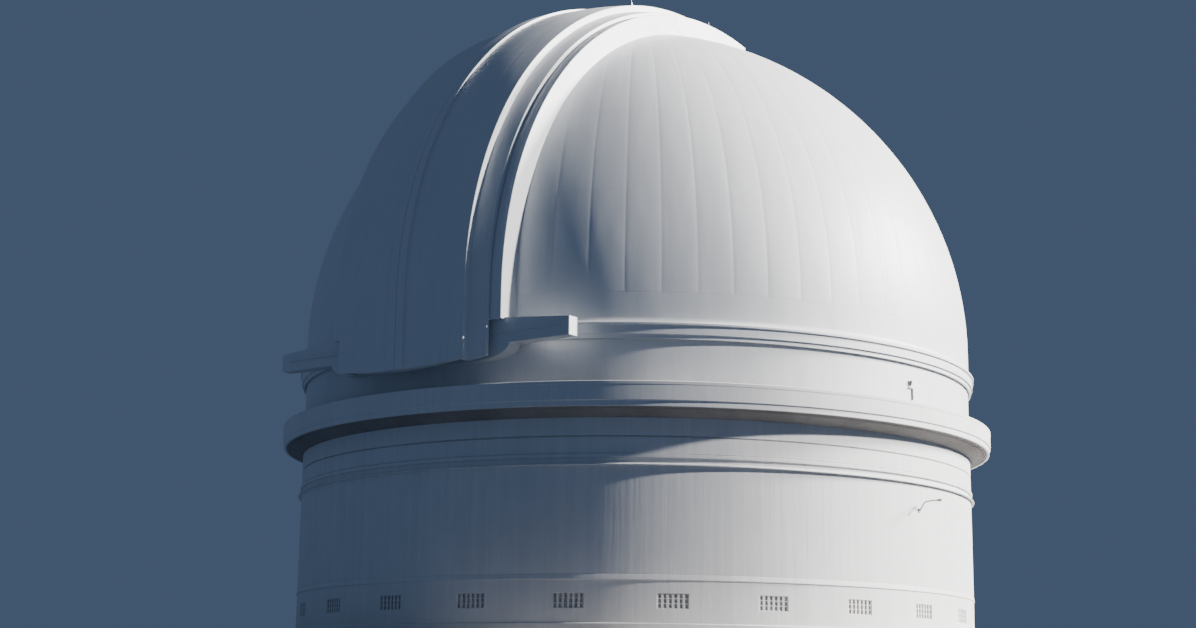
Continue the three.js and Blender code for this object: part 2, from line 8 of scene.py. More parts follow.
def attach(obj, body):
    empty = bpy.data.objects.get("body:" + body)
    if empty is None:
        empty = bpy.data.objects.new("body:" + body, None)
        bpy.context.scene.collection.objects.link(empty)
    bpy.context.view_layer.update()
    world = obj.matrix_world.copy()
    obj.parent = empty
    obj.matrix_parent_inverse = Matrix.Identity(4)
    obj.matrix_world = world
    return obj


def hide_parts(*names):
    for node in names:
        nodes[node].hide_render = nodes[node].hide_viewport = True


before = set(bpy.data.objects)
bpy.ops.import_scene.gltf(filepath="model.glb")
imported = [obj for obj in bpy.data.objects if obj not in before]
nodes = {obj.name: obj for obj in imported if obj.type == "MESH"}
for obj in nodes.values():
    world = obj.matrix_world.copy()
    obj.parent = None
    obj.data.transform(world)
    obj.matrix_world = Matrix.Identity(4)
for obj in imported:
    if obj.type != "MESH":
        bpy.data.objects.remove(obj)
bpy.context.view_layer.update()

# Ground slab. A round floor of concrete, poured inside the wall and trowelled by hand.
# It is plain grey and a little cloudy, with fine pores.


class Shade:
    """One output of a material's nodes, so that shader maths reads as plain expressions."""

    def __init__(self, tree, socket=None):
        self.tree = tree
        self.socket = socket

    def node(self, kind, sockets, output=0, **settings):
        """Makes a node of a kind. Its settings come first, then its sockets' values or links."""
        made = self.tree.nodes.new("ShaderNode" + kind)
        for name, value in settings.items():
            setattr(made, name, value)
        for name, value in sockets.items():
            if isinstance(value, Shade):
                self.tree.links.new(value.socket, made.inputs[name])
            else:
                made.inputs[name].default_value = value
        return Shade(self.tree, made.outputs[output]) if len(made.outputs) else None

    def math(self, operation, *others):
        """A Math node on this value and the others."""
        return self.node("Math", dict(enumerate((self, *others))), operation=operation)

    def __add__(self, other):
        return self.math("ADD", other)

    def __sub__(self, other):
        return self.math("SUBTRACT", other)

    def __rsub__(self, other):
        return self.node("Math", {0: other, 1: self}, operation="SUBTRACT")

    def __mul__(self, other):
        return self.math("MULTIPLY", other)

    def __truediv__(self, other):
        return self.math("DIVIDE", other)

    def __neg__(self):
        return self.math("MULTIPLY", -1.0)

    __radd__ = __add__
    __rmul__ = __mul__

    def ease(self, low, high):
        """0 at low and 1 at high, with a soft start and end."""
        ends = {"Value": self, "From Min": low, "From Max": high}
        return self.node("MapRange", ends, interpolation_type="SMOOTHSTEP")

    def between(self, one, other):
        """The first colour at 0, and the other at 1."""
        return self.node("Mix", {0: self, 6: one, 7: other}, output=2, data_type="RGBA")

    def scaled(self, x, y, z):
        return self.node("VectorMath", {0: self, 1: (x, y, z)}, operation="MULTIPLY")

    def noise(self, scale, detail=3.0, rough=0.55):
        """Cloudy noise at these points, from about 0.25 to 0.75."""
        sockets = {"Vector": self, "Scale": scale, "Detail": detail, "Roughness": rough}
        return self.node("TexNoise", sockets)


def new_finish(name):
    """A material, and the points of the piece that it covers."""
    material = bpy.data.materials.new(name)
    material.use_nodes = True
    material.node_tree.nodes.clear()
    start = Shade(material.node_tree)
    return material, start.node("TexCoord", {}, output="Object")


def grey(value, warm=0.0):
    return (value * (1 + warm), value, value * (1 - warm), 1.0)


def coat(points, colour, roughness, height, depth, **fixed):
    """The shader of one finish. Height is its fine relief, and depth its size in metres."""
    bump = {"Height": height, "Distance": depth, "Strength": 1.0}
    sockets = {"Base Color": colour, "Roughness": roughness, "Normal": points.node("Bump", bump)}
    sockets.update({name.replace("_", " "): value for name, value in fixed.items()})
    points.node("OutputMaterial", {"Surface": points.node("BsdfPrincipled", sockets)})


def concrete(name, dark, light, warm):
    """Bare concrete, clouded and pored, with the marks of a trowel or of its boards."""
    material, points = new_finish(name)
    cloud = points.noise(0.55, 5.0, 0.6)
    trowel = points.scaled(1.0, 1.0, 0.4).noise(6.0, 4.0)
    pores = points.noise(140.0, 2.0)
    tone = (cloud * 0.65 + trowel * 0.35).ease(0.3, 0.7)
    coat(points, tone.between(grey(dark, warm), grey(light, warm)), 0.72 + trowel * 0.3,
         trowel * 0.7 + pores * 0.3, 0.004)
    return material


slab_concrete = concrete("slab concrete", dark=0.26, light=0.36, warm=0.03)
nodes["ground_slab"].material_slots[0].material = slab_concrete

# Base wall. Masonry 300 mm thick with a smooth render, painted white. It has a plinth and
# a string course. One bay at the rear has the entrance, and each other bay has a grille.
WALL_R = 10.43
WALL_INNER_R = 10.13
PLINTH_R = 10.48
PLINTH_TOP = 0.55
COURSE_R = 10.456
COURSE_LOW = 1.65
COURSE_TOP = 1.8
ARRIS = 0.025
BAYS = 24
FIRST_BAY = math.radians(-94)
BAY = math.radians(15)
DOOR_BAY = 21
# Each opening is its half width, its foot and its head.
DOOR = (0.65, 0.15, 1.48)
GRILLE = (0.415, 0.92, 1.31)


def round_point(r, angle, z):
    """A point by radius, angle from -Y towards +X, and height."""
    return (r * math.sin(angle), -r * math.cos(angle), z)


def turn(column, r):
    """A column is an angle and a distance x off it. Its angle at a radius keeps x the same."""
    angle, x = column
    return angle + math.asin(x / r)


def round_wall(bm, profile, columns, openings=None):
    """Turns a closed outline of (radius, height) points round the building.
    Openings gives the half width, foot and head of the hole between two columns."""
    openings = openings or {}
    rows = [[bm.verts.new(round_point(r, turn(c, r), z)) for r, z in profile] for c in columns]
    count = len(profile)
    slack = 1e-6

    def beside(hole):
        """The outline's points from the foot of a hole to its head, outside and inside."""
        _, foot, head = hole
        return [i for i in range(count) if foot - slack <= profile[i][1] <= head + slack]

    def inside(i, k, hole):
        upright = abs(profile[i][1] - profile[k][1]) > slack
        return upright and i in beside(hole) and k in beside(hole)

    for j, here in enumerate(rows):
        there = rows[(j + 1) % len(rows)]
        hole = openings.get(j)
        for i in range(count):
            k = (i + 1) % count
            if not (hole and inside(i, k, hole)):
                bm.faces.new((here[i], there[i], there[k], here[k]))
        if hole:
            for z in hole[1:]:
                outer, inner = [i for i in range(count) if abs(profile[i][1] - z) < slack]
                bm.faces.new((here[outer], there[outer], there[inner], here[inner]))
            for other, row in ((j - 1, here), (j + 1, there)):
                if openings.get(other % len(rows)) != hole:
                    bm.faces.new([row[i] for i in beside(hole)])


def make_piece(bm, name, body, finish, stands_for=(), edge=0.0, sharp=40.0, cuts=2):
    """Rounds the sharp edges by edge metres, and hands the piece over to its body."""
    bmesh.ops.recalc_face_normals(bm, faces=bm.faces)
    if edge:
        least_fold = math.radians(28)
        corners = [e for e in bm.edges if e.is_manifold and e.calc_face_angle() > least_fold]
        bmesh.ops.bevel(bm, geom=corners, offset=edge, offset_type="OFFSET", segments=cuts,
                        profile=0.5, affect="EDGES", clamp_overlap=True)
    mesh = bpy.data.meshes.new(name)
    bm.to_mesh(mesh)
    bm.free()
    mesh.materials.append(finish)
    mesh.shade_smooth()
    mesh.set_sharp_from_angle(angle=math.radians(sharp))
    piece = bpy.data.objects.new(name, mesh)
    bpy.context.scene.collection.objects.link(piece)
    even = piece.modifiers.new("even shading", "WEIGHTED_NORMAL")
    even.keep_sharp = True
    if stands_for:
        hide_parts(*stands_for)
    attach(piece, body)


def painted_render(name, light, dark, warm, streaks, soil_low, soil_high, relief_depth):
    """White masonry paint over render, with faint upright streaks, and soil that thins out
    between two heights."""
    material, points = new_finish(name)
    mottle = points.noise(0.9, 5.0, 0.6)
    runs = points.scaled(5.0, 5.0, 0.16).noise(1.0, 4.0, 0.6)
    fine_runs = points.scaled(26.0, 26.0, 0.9).noise(1.0, 3.0)
    sand = points.noise(260.0, 2.0)
    float_marks = points.noise(11.0, 3.0)
    wash = (mottle * 0.35 + runs * 0.45 + fine_runs * 0.2).ease(0.36, 0.66)
    height = points.node("SeparateXYZ", {"Vector": points}, output=2)
    soil = (1.0 - (height + mottle * 0.7).ease(soil_low, soil_high)) * runs.ease(0.35, 0.6)
    clean = wash.between(grey(light - streaks, warm), grey(light, warm))
    colour = (soil * 0.6).between(clean, grey(dark, 0.1))
    relief = runs * 0.7 + fine_runs * 0.12 + float_marks * 0.12 + sand * 0.06
    coat(points, colour, 0.5 + mottle * 0.22, relief, relief_depth)
    return material


wall_render = painted_render("wall render", light=0.79, dark=0.42, warm=0.004, streaks=0.085,
                             soil_low=0.0, soil_high=1.3, relief_depth=0.008)

wall_columns = []
wall_openings = {}
for bay in range(BAYS):
    angle = FIRST_BAY + bay * BAY
    hole = DOOR if bay == DOOR_BAY else GRILLE
    for degrees in (-7.5, -6.0, -4.6):
        wall_columns.append((angle + math.radians(degrees), 0.0))
    wall_openings[len(wall_columns)] = hole
    wall_openings[len(wall_columns) + 1] = hole
    for x in (-hole[0], 0.0, hole[0]):
        wall_columns.append((angle, x))
    for degrees in (4.6, 6.0):
        wall_columns.append((angle + math.radians(degrees), 0.0))

base_profile = [
    (PLINTH_R, 0.0), (PLINTH_R, DOOR[1]), (PLINTH_R, PLINTH_TOP - ARRIS), (WALL_R, PLINTH_TOP),
    (WALL_R, GRILLE[1]), (WALL_R, GRILLE[2]), (WALL_R, DOOR[2]), (WALL_R, COURSE_LOW),
    (COURSE_R, COURSE_LOW), (COURSE_R, COURSE_LOW + ARRIS), (WALL_R, COURSE_TOP),
    (WALL_INNER_R, COURSE_TOP), (WALL_INNER_R, DOOR[2]), (WALL_INNER_R, GRILLE[2]),
    (WALL_INNER_R, GRILLE[1]), (WALL_INNER_R, DOOR[1]), (WALL_INNER_R, 0.0),
]
EIGHTHS = ("front_left", "front_right", "right_front", "right_rear",
           "rear_right", "rear_left", "left_rear", "left_front")
bm = bmesh.new()
round_wall(bm, base_profile, wall_columns, openings=wall_openings)
make_piece(bm, "base_wall", "building", wall_render,
           ["base_wall_" + part for part in EIGHTHS], edge=0.007)

# Grilles. Precast concrete panels, painted with the wall, six openings wide and three high.
# Each is bedded in mortar, set back a little, with a galvanised wire screen behind it.
GRILLE_FRONT = -WALL_R + 0.02
GRILLE_BACK = GRILLE_FRONT + 0.035
grille_finish = painted_render("grille paint", light=0.74, dark=0.34, warm=0.01, streaks=0.09,
                               soil_low=0.0, soil_high=1.5, relief_depth=0.003)
grille_places = [Matrix.Rotation(FIRST_BAY + bay * BAY, 4, "Z")
                 for bay in range(BAYS) if bay != DOOR_BAY]


def slot_edges(low, high, count, slot, bar):
    """The edges of a panel and of its slots, which lie in its middle with bars between them."""
    edges = [low]
    for k in range(count):
        left = (low + high - count * (slot + bar) + bar) / 2 + k * (slot + bar)
        edges += [left, left + slot]
    return edges + [high]


half, low, high = GRILLE
column_edges = slot_edges(-half, half, count=6, slot=0.074, bar=0.066)
row_edges = slot_edges(low, high, count=3, slot=0.108, bar=0.021)
bm = bmesh.new()
for place in grille_places:
    front, back = [[[bm.verts.new(place @ Vector((x, y, z))) for z in row_edges]
                    for x in column_edges] for y in (GRILLE_FRONT, GRILLE_BACK)]
    last_i, last_j = len(column_edges) - 1, len(row_edges) - 1
    rims = [[(i, 0) for i in range(last_i)] + [(last_i, j) for j in range(last_j)]
            + [(i, last_j) for i in range(last_i, 0, -1)] + [(0, j) for j in range(last_j, 0, -1)]]
    for i in range(last_i):
        for j in range(last_j):
            ring = [(i, j), (i + 1, j), (i + 1, j + 1), (i, j + 1)]
            if i % 2 == 1 and j % 2 == 1:
                rims.append(ring)
            else:
                bm.faces.new([front[a][b] for a, b in ring])
                bm.faces.new([back[a][b] for a, b in ring])
    for rim in rims:
        for (a, b), (c, d) in zip(rim, rim[1:] + rim[:1]):
            bm.faces.new((front[a][b], front[c][d], back[c][d], back[a][b]))
make_piece(bm, "wall_grilles", "building", grille_finish, edge=0.004, cuts=1)


def painted_metal(name, colour, wear, roughness, metallic=0.0):
    """Paint on steel, or the bare metal, with scuffs and a light orange peel."""
    material, points = new_finish(name)
    scuff = points.noise(7.0, 6.0, 0.65)
    peel = points.noise(220.0, 2.0)
    worn = scuff.ease(0.58, 0.72)
    coat(points, worn.between(colour, wear), roughness + scuff * 0.25, peel * 0.6 + scuff * 0.4,
         0.001, Metallic=metallic)
    return material


def add_box(bm, low, high, place=None):
    """A box between two corners, turned into place."""
    for v in bmesh.ops.create_cube(bm, size=1.0)["verts"]:
        at = Vector([low[i] if v.co[i] < 0 else high[i] for i in range(3)])
        v.co = place @ at if place else at


MESH_PITCH = 0.016
WIRE = 0.006
screen_wire = painted_metal("screen wire", grey(0.6, -0.01), grey(0.45, 0.04), roughness=0.5)
upright_y = GRILLE_BACK + 0.001
level_y = upright_y + WIRE / 2
bm = bmesh.new()
for place in grille_places:
    for k in range(1, int(2 * half / MESH_PITCH)):
        x = -half + k * MESH_PITCH
        add_box(bm, (x, upright_y, low), (x + WIRE, upright_y + WIRE, high), place)
    for k in range(1, int((high - low) / MESH_PITCH)):
        z = low + k * MESH_PITCH
        add_box(bm, (-half, level_y, z), (half, level_y + WIRE, z + WIRE), place)
make_piece(bm, "grille_screens", "building", screen_wire)

# Upper wall. The same rendered masonry, up to the walkway. A sloped moulding with a flat
# fillet over it runs round it, and a groove higher up takes up the render's movement.
MOULDING_R = 10.525
MOULDING_LOW = 4.635
NECK_R = 10.405
NECK_LOW = 4.715
FILLET_R = 10.465
FILLET_LOW = 4.84
FILLET_TOP = 4.925
FILLET_STEP_R = 10.415
FILLET_STEP_TOP = 4.955
GROOVE_R = 10.37
GROOVE_LOW = 5.385
GROOVE_TOP = 5.425
WALL_TOP = 6.05
UPPER_INNER_R = 10.23
RING_COLUMNS = [(math.radians(2 * k), 0.0) for k in range(180)]
upper_profile = [
    (WALL_R, COURSE_TOP), (WALL_R, 2.7), (WALL_R, 3.7), (WALL_R, MOULDING_LOW),
    (MOULDING_R, MOULDING_LOW), (MOULDING_R, MOULDING_LOW + ARRIS), (NECK_R, NECK_LOW),
    (NECK_R, FILLET_LOW), (FILLET_R, FILLET_LOW), (FILLET_R, FILLET_TOP),
    (FILLET_STEP_R, FILLET_TOP), (FILLET_STEP_R, FILLET_STEP_TOP), (WALL_R, FILLET_STEP_TOP),
    (WALL_R, GROOVE_LOW), (GROOVE_R, GROOVE_LOW), (GROOVE_R, GROOVE_TOP), (WALL_R, GROOVE_TOP),
    (WALL_R, WALL_TOP), (UPPER_INNER_R, WALL_TOP), (UPPER_INNER_R, COURSE_TOP),
]
bm = bmesh.new()
round_wall(bm, upper_profile, RING_COLUMNS)
make_piece(bm, "upper_wall", "building", wall_render,
           ["upper_wall_" + part for part in EIGHTHS], edge=0.006)

# Entrance. A pair of pressed steel doors in a folded steel frame, painted blue-grey.
# Each leaf has two sunk panels, three hinges and a lever handle.
DOOR_PLACE = Matrix.Rotation(FIRST_BAY + DOOR_BAY * BAY, 4, "Z")
FRAME_HALF = 0.6497
FRAME_LOW = 0.1503
FRAME_TOP = 1.4797
FRAME_FACE = 0.07
FRAME_FRONT = -10.34
FRAME_BACK = -10.18
LEAF_FRONT = -10.3
LEAF_DEPTH = 0.05
LEAF_LOW = 0.154
LEAF_TOP = 1.4054
LEAF_OUTER_X = 0.5794
LEAF_INNER_X = 0.0015
MID_RAIL_Z = 0.72
DOOR_PANEL_BORDER = 0.075
DOOR_PANEL_SLOPE = 0.012
DOOR_PANEL_SINK = 0.01
HINGE_X = 0.572
HINGE_HEIGHTS = (0.36, 0.8, 1.22)
HINGE_R = 0.009
LEVER_X = 0.052
LEVER_Z = 0.765
LEVER_PLATE_HALF = 0.018
STEM_R = 0.008
door_paint = painted_metal("door paint", (0.12, 0.16, 0.2, 1.0), (0.2, 0.22, 0.24, 1.0),
                           roughness=0.32)
handle_steel = painted_metal("handle steel", grey(0.42), grey(0.3), roughness=0.22, metallic=1.0)


def loft(bm, rings, closed=False):
    """Skins a row of rings of points, and caps its ends unless it closes on itself."""
    count = len(rings[0])
    for here, there in zip(rings, rings[1:] + rings[:1] if closed else rings[1:]):
        for i in range(count):
            k = (i + 1) % count
            bm.faces.new((here[i], there[i], there[k], here[k]))
    if not closed:
        bm.faces.new(rings[0])
        bm.faces.new(rings[-1])


def add_rod(bm, place, foot_r, tip_r, length, sides):
    """A round rod or disc along the place's own axis."""
    bmesh.ops.create_cone(bm, cap_ends=True, segments=sides, radius1=foot_r, radius2=tip_r,
                          depth=length, matrix=place)


ALONG_Y = Matrix.Rotation(math.pi / 2, 4, "X")
ALONG_X = Matrix.Rotation(math.pi / 2, 4, "Y")

inner_half, inner_top = FRAME_HALF - FRAME_FACE, FRAME_TOP - FRAME_FACE
outline = [(-FRAME_HALF, FRAME_LOW), (-FRAME_HALF, FRAME_TOP), (FRAME_HALF, FRAME_TOP),
           (FRAME_HALF, FRAME_LOW), (inner_half, FRAME_LOW), (inner_half, inner_top),
           (-inner_half, inner_top), (-inner_half, FRAME_LOW)]
bm = bmesh.new()
loft(bm, [[bm.verts.new(DOOR_PLACE @ Vector((x, y, z))) for x, z in outline]
          for y in (FRAME_FRONT, FRAME_BACK)])
make_piece(bm, "entrance_frame", "building", door_paint, ["door_frame"], edge=0.006)

for side_name, x0, x1 in (("left", -LEAF_OUTER_X, -LEAF_INNER_X),
                          ("right", LEAF_INNER_X, LEAF_OUTER_X)):
    bm = bmesh.new()
    add_box(bm, (x0, LEAF_FRONT, LEAF_LOW), (x1, LEAF_FRONT + LEAF_DEPTH, LEAF_TOP))
    bmesh.ops.recalc_face_normals(bm, faces=bm.faces)
    bmesh.ops.bisect_plane(bm, geom=bm.verts[:] + bm.edges[:] + bm.faces[:],
                           plane_co=(0, 0, MID_RAIL_Z), plane_no=(0, 0, 1))
    panels = [f for f in bm.faces if f.normal.y < -0.9]
    bmesh.ops.inset_individual(bm, faces=panels, thickness=DOOR_PANEL_BORDER, depth=0.0)
    bmesh.ops.inset_individual(bm, faces=panels, thickness=DOOR_PANEL_SLOPE,
                               depth=-DOOR_PANEL_SINK)
    bmesh.ops.transform(bm, matrix=DOOR_PLACE, verts=bm.verts)
    make_piece(bm, "entrance_leaf_" + side_name, "building", door_paint,
               ["door_leaf_" + side_name], edge=0.003)

bm = bmesh.new()
for sign in (-1, 1):
    for z in HINGE_HEIGHTS:
        knuckle = Matrix.Translation((sign * HINGE_X, -10.307, z))
        add_rod(bm, DOOR_PLACE @ knuckle, HINGE_R, HINGE_R, length=0.085, sides=16)
    add_box(bm, (sign * LEVER_X - LEVER_PLATE_HALF, LEAF_FRONT - 0.008, 0.68),
            (sign * LEVER_X + LEVER_PLATE_HALF, LEAF_FRONT, 0.82), DOOR_PLACE)
    stem = Matrix.Translation((sign * LEVER_X, -10.317, LEVER_Z)) @ ALONG_Y
    add_rod(bm, DOOR_PLACE @ stem, STEM_R, STEM_R, length=0.03, sides=16)
    lever = Matrix.Translation((sign * 0.1, -10.332, LEVER_Z)) @ ALONG_X
    add_rod(bm, DOOR_PLACE @ lever, 0.0075, 0.006, length=0.11, sides=16)
make_piece(bm, "entrance_hinges_and_levers", "building", handle_steel, edge=0.0015,
           cuts=1)

# Walkway. A ring of cast concrete that cantilevers from the wall and tapers to its edge.
# Its underside is left as cast, with a drip groove near the rim. Its warm grey is partly the
# concrete's own colour and partly painted shade for the shaded underside.
WALKWAY_R = 10.95
WALKWAY_INNER_R = 9.9
WALKWAY_TOP = 6.19
SOFFIT_LOW = 5.9
SOFFIT_RISE = 0.22
DRIP_R = 10.85
DRIP_OUTER_R = 10.87
DRIP_DEPTH = 0.012
QUARTERS = ("front", "right", "rear", "left")
# The dark grey of this concrete is partly its own colour and partly painted shade under the
# walkway.
soffit_concrete_and_painted_shade = concrete("walkway concrete, painted shade", dark=0.2, light=0.3, warm=0.06)


def soffit(r):
    """Height of the walkway's underside, which rises to its edge."""
    return SOFFIT_LOW + SOFFIT_RISE * (r - WALL_R) / (WALKWAY_R - WALL_R)


walkway_profile = [
    (WALL_R, soffit(WALL_R)), (DRIP_R, soffit(DRIP_R)), (DRIP_R, soffit(DRIP_R) + DRIP_DEPTH),
    (DRIP_OUTER_R, soffit(DRIP_OUTER_R) + DRIP_DEPTH), (DRIP_OUTER_R, soffit(DRIP_OUTER_R)),
    (WALKWAY_R, soffit(WALKWAY_R)), (WALKWAY_R, WALKWAY_TOP), (10.3, WALKWAY_TOP),
    (WALKWAY_INNER_R, WALKWAY_TOP), (WALKWAY_INNER_R, WALL_TOP), (WALL_R, WALL_TOP),
]
bm = bmesh.new()
round_wall(bm, walkway_profile, RING_COLUMNS)
make_piece(bm, "walkway", "building", soffit_concrete_and_painted_shade,
           ["walkway_" + part for part in QUARTERS], edge=0.004)

# Parapet. A thin rendered wall on the walkway's edge, set back a little at its foot, with a
# thin coping that overhangs inside. Rain has left faint runs under the coping.
PARAPET_R = 11.06
FOOT_R = 11.025
FOOT_LOW = 6.12
FOOT_TOP = 6.28
COPING_R = 11.068
COPING_INNER_R = 10.92
COPING_LOW = 6.68
COPING_TOP = 6.79
parapet_render = painted_render("parapet render", light=0.8, dark=0.45, warm=0.003, streaks=0.07,
                                soil_low=5.2, soil_high=6.35, relief_depth=0.003)
parapet_profile = [
    (FOOT_R, FOOT_LOW), (FOOT_R, FOOT_TOP - ARRIS), (PARAPET_R, FOOT_TOP), (PARAPET_R, 6.45),
    (PARAPET_R, COPING_LOW), (COPING_R, COPING_LOW + 0.01), (COPING_R, COPING_TOP - 0.015),
    (11.02, COPING_TOP), (COPING_INNER_R, COPING_TOP - 0.006), (COPING_INNER_R, COPING_LOW),
    (WALKWAY_R, COPING_LOW), (WALKWAY_R, FOOT_LOW),
]
bm = bmesh.new()
round_wall(bm, parapet_profile, RING_COLUMNS)
make_piece(bm, "parapet", "building", parapet_render,
           ["parapet_" + part for part in QUARTERS], edge=0.006)

# Circular rail, ring girder and trucks. Rolled steel, hidden behind the parapet. The rail
# is bare steel with scuffed patches, and the girder is under grey primer.
rail_steel = painted_metal("rail steel", grey(0.36, 0.02), grey(0.22, 0.12), roughness=0.3,
                           metallic=1.0)
girder_paint = painted_metal("girder primer", grey(0.2, -0.03), grey(0.28, 0.08), roughness=0.5)
nodes["circular_rail"].material_slots[0].material = rail_steel
nodes["ring_girder"].material_slots[0].material = girder_paint

# Drum wall. Curved steel plates, butt welded, that turn with the dome under its belt.
# White paint, with faint weld lines and grey runs where rain comes off the belt.
DRUM_R = 10.42
DRUM_LOW = 6.24
DRUM_LEDGE = 6.6803
DRUM_LOWER_INNER_R = 10.2503
DRUM_TOP = 8.395
BELT_LOW = 8.01
INNER_R = 10.05
DOME_R = 10.45
SPRING_Z = 9.3
FULL_TURN = 2 * math.pi
FIRST_DRUM_SEAM = math.radians(46.5)
DRUM_PLATE = FULL_TURN / 33
ROW_SPACING = math.radians(16.35)
FIRST_SEAM = math.radians(28.3)
PLATE_SPACING = (math.pi - FIRST_SEAM) / 28
SLIT_PLATE = math.radians(10.9)
SLIT_LANE = 0.93
GROOVE_HALF = math.radians(0.1)
SEAM_DEPTH = 0.004


def seam_columns(first, spacing, begin, end, per_plate):
    """Columns at each seam's middle and edges, and over the plate between it and the next.
    A column is an angle, whether a seam is there, and a distance x off the angle."""
    columns = []
    k = math.ceil((begin - first) / spacing)
    while first + k * spacing < end:
        seam = first + k * spacing
        columns += [(seam - GROOVE_HALF, 0), (seam, 1), (seam + GROOVE_HALF, 0)]
        for i in range(1, per_plate):
            columns.append((seam + i * spacing / per_plate, 0))
        k += 1
    return [(angle, seam, 0.0) for angle, seam in columns if begin < angle < end]


def dome_paint(name, light, streak, plates, slit_axis=False, runs_from=None):
    """White enamel on steel plates. Each plate has weathered a little differently, and fine
    streaks, with a little soil in them, run down the surface."""
    material, points = new_finish(name)
    x, y, z = [points.node("SeparateXYZ", {"Vector": points}, output=k) for k in range(3)]
    if slit_axis:
        # A leaf's plates run along the slit, so their streaks follow the arc.
        flow = points.scaled(4.5, 0.22, 0.22)
        fine = points.scaled(30.0, 1.1, 1.1)
        swell = points.scaled(1.3, 0.5, 0.5)
        row = (z - SPRING_Z).math("ARCTAN2", y) / SLIT_PLATE
        lane = x / SLIT_LANE
    else:
        flat = points.scaled(1.0, 1.0, 0.0)
        out = points.node("VectorMath", {0: flat}, operation="NORMALIZE")
        lift = points.scaled(0.0, 0.0, 0.02)
        flow_at = points.node("VectorMath", {0: out.scaled(10.4, 10.4, 10.4), 1: lift},
                              operation="ADD")
        flow = flow_at.scaled(3.2, 3.2, 9.0)
        fine = flow_at.scaled(19.0, 19.0, 40.0)
        swell = flow_at.scaled(1.3, 1.3, 25.0)
        radius = points.node("VectorMath", {0: flat}, operation="LENGTH", output="Value")
        row = (z - SPRING_Z).math("ARCTAN2", radius) / ROW_SPACING
        lane = (x.math("ABSOLUTE").math("ARCTAN2", -y) - FIRST_SEAM) / PLATE_SPACING
    streaks = flow.noise(1.0, 4.0, 0.6)
    hair = fine.noise(1.0, 2.0)
    cloud = points.noise(0.35, 4.0)
    cell = points.node("CombineXYZ", {"X": lane.math("FLOOR"), "Y": row.math("FLOOR"),
                                      "Z": x.math("SIGN")})
    plate = points.node("TexWhiteNoise", {"Vector": cell})
    wash = (streaks * 0.5 + hair * 0.2 + cloud * 0.3 + plate * plates).ease(0.36, 0.68 + plates)
    clean = wash.between(grey(light - streak, -0.02), grey(light, -0.014))
    soil = streaks.ease(0.5, 0.68) * hair.ease(0.4, 0.62)
    if runs_from:
        low, high = runs_from
        soil = soil * z.ease(low, high) * 1.6
    colour = (soil * 0.16).between(clean, grey(0.36, 0.02))
    peel = points.noise(170.0, 2.0)
    coat(points, colour, 0.42 + cloud * 0.16 + soil * 0.1,
         swell.noise(1.0, 1.0) * 0.995 + peel * 0.005, 0.012, Coat_Weight=0.08, Coat_Roughness=0.36)
    return material


def seamed_ring(bm, profile, columns, closed=False):
    """A ring turned from an outline whose third value says that the seams are cut there."""
    rings = []
    for angle, seam, x in columns:
        ring = []
        for r, z, cut in profile:
            at = r - SEAM_DEPTH * seam * cut
            ring.append(bm.verts.new(round_point(at, turn((angle, x), at), z)))
        rings.append(ring)
    loft(bm, rings, closed)


drum_paint = dome_paint("drum paint", light=0.8, streak=0.075, plates=0.04,
                        runs_from=(7.0, 8.0))
drum_walls = ["drum_wall_" + part for part in QUARTERS]
drum_profile = [
    (DRUM_R, DRUM_LOW, 1), (DRUM_R, 6.9, 1), (DRUM_R, 7.4, 1), (DRUM_R, BELT_LOW, 1),
    (DRUM_R, DRUM_TOP, 0), (INNER_R, DRUM_TOP, 0), (INNER_R, DRUM_LEDGE, 0),
    (DRUM_LOWER_INNER_R, DRUM_LEDGE, 0), (DRUM_LOWER_INNER_R, DRUM_LOW, 0),
]
bm = bmesh.new()
seamed_ring(bm, drum_profile,
            seam_columns(FIRST_DRUM_SEAM, DRUM_PLATE, 0.0, FULL_TURN - 1e-4, 8), closed=True)
make_piece(bm, "drum_wall", "dome", drum_paint, drum_walls, sharp=30)

# Springing course. The last ring of plates, between the belt and the hemisphere. It is cut
# away for the slit's arches, and a lapped seam marks the springing line.
SLIT_EDGE = 3.1003
COURSE_PLATE = math.radians(10.84)
COURSE_BEGIN = math.radians(18.4)
LAP_R = 10.448
dome_enamel = dome_paint("dome enamel", light=0.815, streak=0.05, plates=0.08)
course_profile = [
    (DOME_R, DRUM_TOP, 0), (DOME_R, 8.8, 1), (DOME_R, 9.268, 1), (LAP_R, 9.274, 1),
    (LAP_R, 9.292, 1), (DOME_R, SPRING_Z, 1), (INNER_R, SPRING_Z, 0), (INNER_R, DRUM_TOP, 0),
]
course_columns = seam_columns(FIRST_DRUM_SEAM, COURSE_PLATE, COURSE_BEGIN,
                              FULL_TURN - COURSE_BEGIN, 8)
bm = bmesh.new()
seamed_ring(bm, course_profile,
            [(0.0, 0, SLIT_EDGE)] + course_columns + [(FULL_TURN, 0, -SLIT_EDGE)])
make_piece(bm, "springing_course", "dome", dome_enamel, drum_walls, sharp=30)

# Belt. A pressed steel moulding bolted round the foot of the hemisphere, with a plain lower
# member, a flat band, a lip and a flare that throws the rain clear of the drum.
BELT_EDGE = 3.68
BELT_LOW_R = 10.51
BELT_STEP = 8.13
BELT_R = 10.56
LIP_R = 10.61
LIP_LOW = 8.385
LIP_TOP = 8.435
BELT_TOP = 8.6
FLARE_RUN = 0.16
belt_finish = dome_paint("belt enamel", light=0.81, streak=0.05, plates=0.0)
flare = []
for t in range(1, 6):
    a = t * math.pi / 12
    flare.append((LIP_R - FLARE_RUN * math.sin(a), BELT_TOP - (BELT_TOP - LIP_TOP) * math.cos(a)))
belt_profile = [(DOME_R, BELT_LOW), (BELT_LOW_R, BELT_LOW), (BELT_LOW_R, BELT_STEP),
                (BELT_R, BELT_STEP), (BELT_R, LIP_LOW - 0.01), (LIP_R, LIP_LOW),
                (LIP_R, LIP_TOP)] + flare + [(DOME_R + 0.002, BELT_TOP)]
